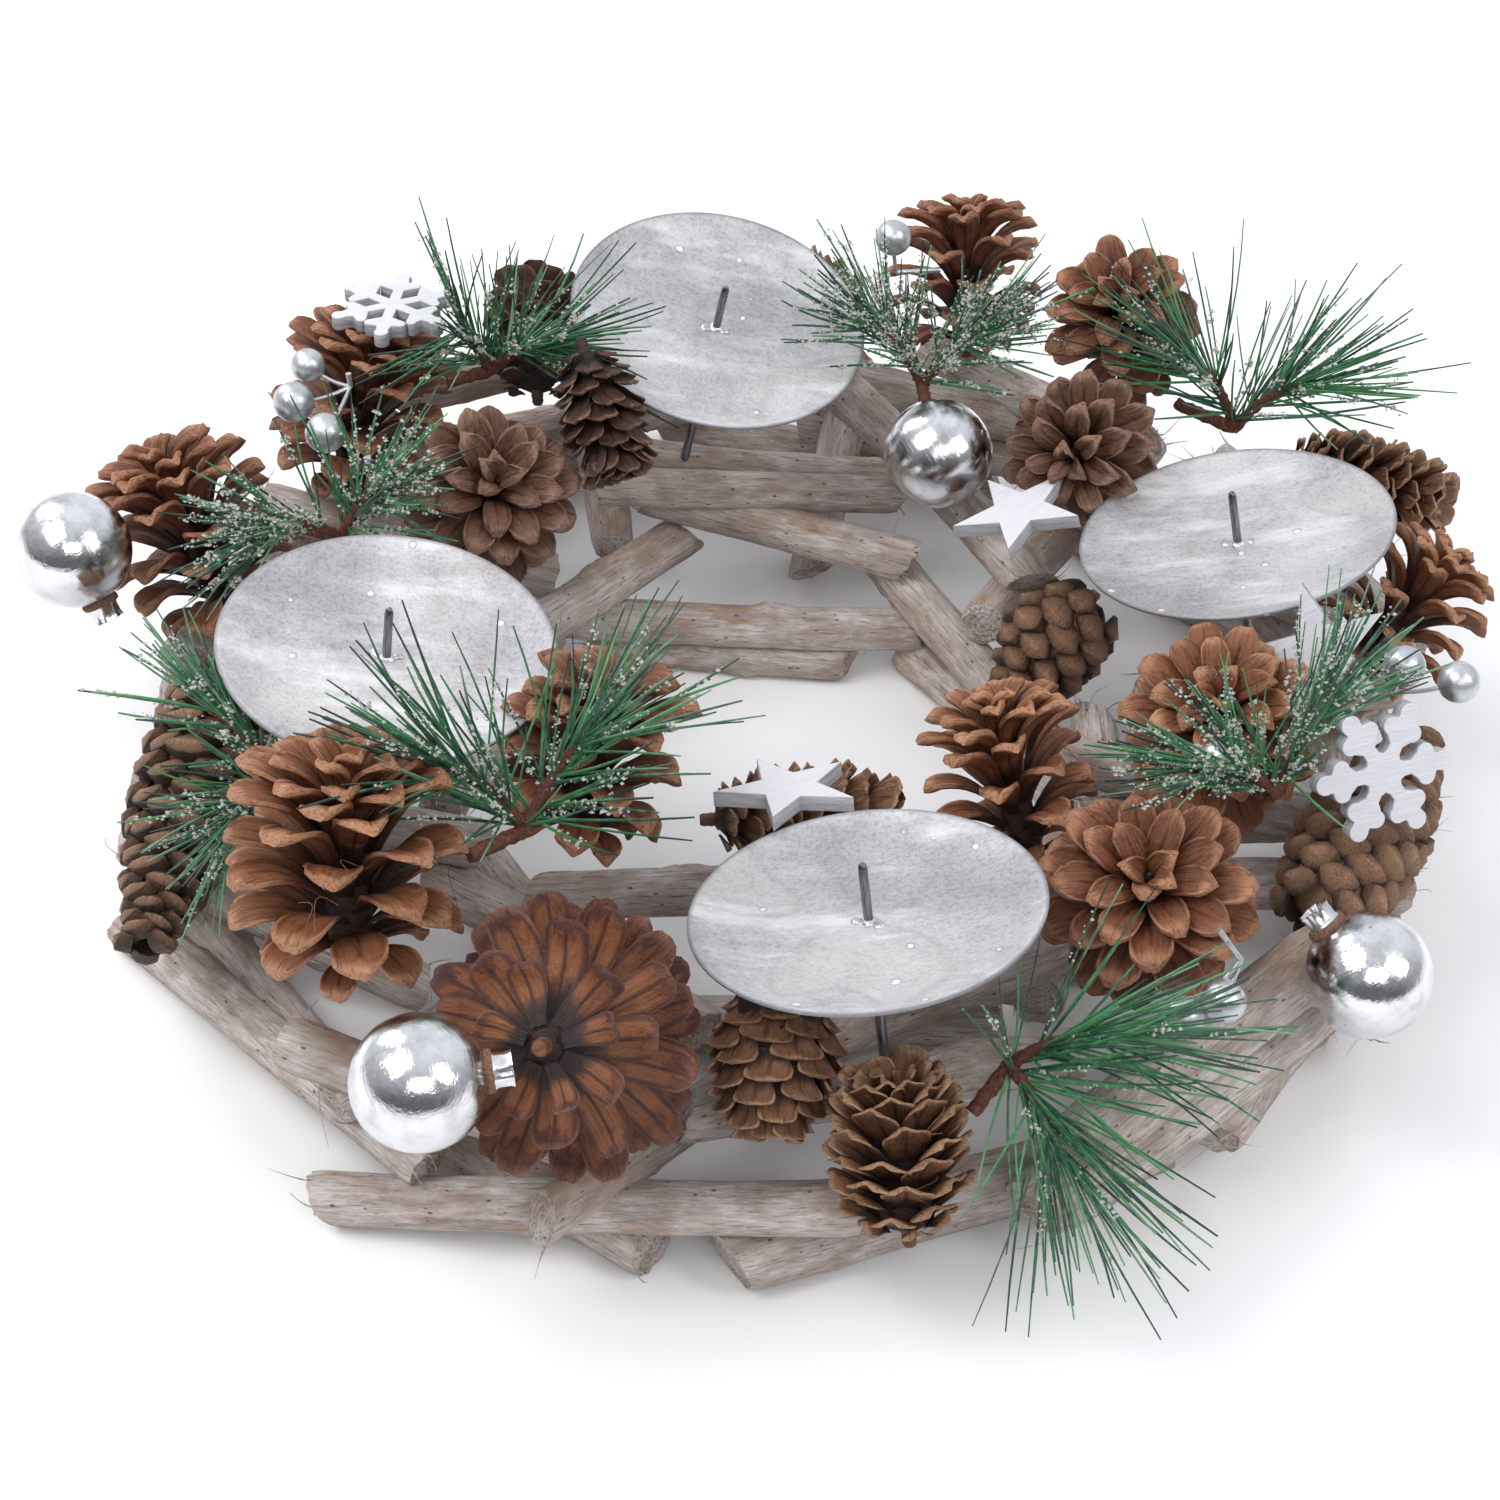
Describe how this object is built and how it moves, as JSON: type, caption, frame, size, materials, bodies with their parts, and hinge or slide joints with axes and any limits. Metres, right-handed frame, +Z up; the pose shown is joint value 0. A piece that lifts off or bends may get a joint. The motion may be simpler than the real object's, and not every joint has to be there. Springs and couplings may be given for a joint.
{
  "type": "wooden advent wreath",
  "caption": "Advent wreath of whitewashed sticks with tilted zinc candle plates on spikes, pine cones, silver baubles, berries, white wooden stars and snowflakes, and snowy pine sprigs.",
  "frame": {"origin": "middle of the outline's bounding box, on the surface the wreath lies on", "axes": "+Z up through the ring; front is -Y, the side nearest the viewer in the picture; +X to the viewer's right"},
  "size_m": [0.3801, 0.3753, 0.1432],
  "materials": {
    "whitewashed_wood": "bare branches with thin worn white lime wash",
    "cone_scales": "dry reddish-brown pine cone scales, matt",
    "spruce_scales": "dry dark brown thin cone scales, matt",
    "zinc_sheet": "galvanised sheet, mottled and dull",
    "mirror_silver": "silvered blown glass, high gloss",
    "pearl_silver": "pearly silver lacquer on beads and wires",
    "white_paint": "thin plywood painted matt white",
    "needle_green": "green pine needles dusted with artificial snow"
  },
  "bodies": {
    "root": {"bauble_back": "mirror_silver", "bauble_front": "mirror_silver", "bauble_left": "mirror_silver", "bauble_right": "mirror_silver", "berries_front": "pearl_silver", "berries_left": "pearl_silver", "berries_right": "pearl_silver", "berry_back": "pearl_silver", "berry_middle": "pearl_silver", "candle_plate_back": "zinc_sheet", "candle_plate_front": "zinc_sheet", "candle_plate_left": "zinc_sheet", "candle_plate_right": "zinc_sheet", "closed_cone_back_left": "spruce_scales", "closed_cone_front": "cone_scales", "closed_cone_inner_right": "cone_scales", "closed_cone_left": "cone_scales", "closed_cone_right": "cone_scales", "open_cone_back": "cone_scales", "open_cone_back_left": "cone_scales", "open_cone_back_right": "cone_scales", "open_cone_behind_bauble": "cone_scales", "open_cone_far_right": "cone_scales", "open_cone_front": "cone_scales", "open_cone_inner_front": "cone_scales", "open_cone_inner_left": "cone_scales", "open_cone_inner_right": "cone_scales", "open_cone_left": "cone_scales", "open_cone_left_front": "cone_scales", "open_cone_right": "cone_scales", "open_cone_right_front": "cone_scales", "snowflake_back_left": "white_paint", "snowflake_right": "white_paint", "sprig_back": "needle_green", "sprig_back_left": "needle_green", "sprig_front": "needle_green", "sprig_inner_front": "needle_green", "sprig_left": "needle_green", "sprig_left_front": "needle_green", "sprig_right": "needle_green", "sprig_right_front": "needle_green", "spruce_cone_back": "spruce_scales", "spruce_cone_back_left": "spruce_scales", "spruce_cone_front": "spruce_scales", "spruce_cone_inner_front": "spruce_scales", "spruce_cone_right": "spruce_scales", "star_back": "white_paint", "star_front": "white_paint", "star_right": "white_paint", "sticks_back": "whitewashed_wood", "sticks_back_left": "whitewashed_wood", "sticks_front": "whitewashed_wood", "sticks_front_left": "whitewashed_wood", "sticks_inner_back": "whitewashed_wood", "sticks_inner_front": "whitewashed_wood", "sticks_inner_right": "whitewashed_wood", "sticks_left": "whitewashed_wood", "sticks_right": "whitewashed_wood", "sticks_right_front": "whitewashed_wood"}
  },
  "joints": []
}
